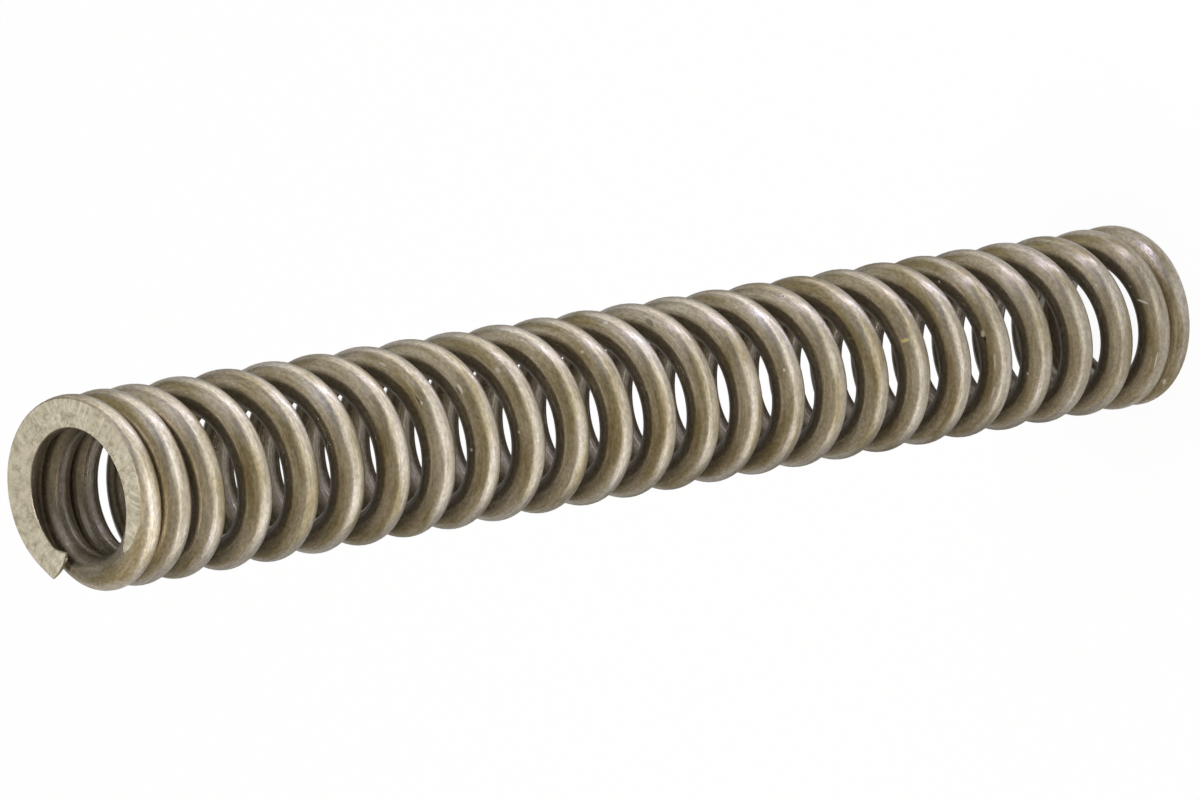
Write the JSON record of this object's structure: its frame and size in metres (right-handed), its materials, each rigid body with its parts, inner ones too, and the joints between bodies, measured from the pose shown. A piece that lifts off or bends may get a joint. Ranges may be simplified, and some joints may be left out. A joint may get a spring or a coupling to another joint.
{
  "type": "valve spring",
  "caption": "Long slender compression spring of round steel wire, wound right-handed, with closed ends ground flat.",
  "frame": {"origin": "centre of the coil axis on the plane of the lower ground face, which the spring stands on", "axes": "+Z along the coil axis towards the upper ground face, +X through the tip of the wire at the lower end"},
  "size_m": [0.012, 0.012, 0.0898],
  "materials": {
    "spring_steel": "bare drawn spring wire, olive grey and semi-bright, with paler ground end faces"
  },
  "bodies": {
    "root": {"valve_spring": "spring_steel"}
  },
  "joints": []
}
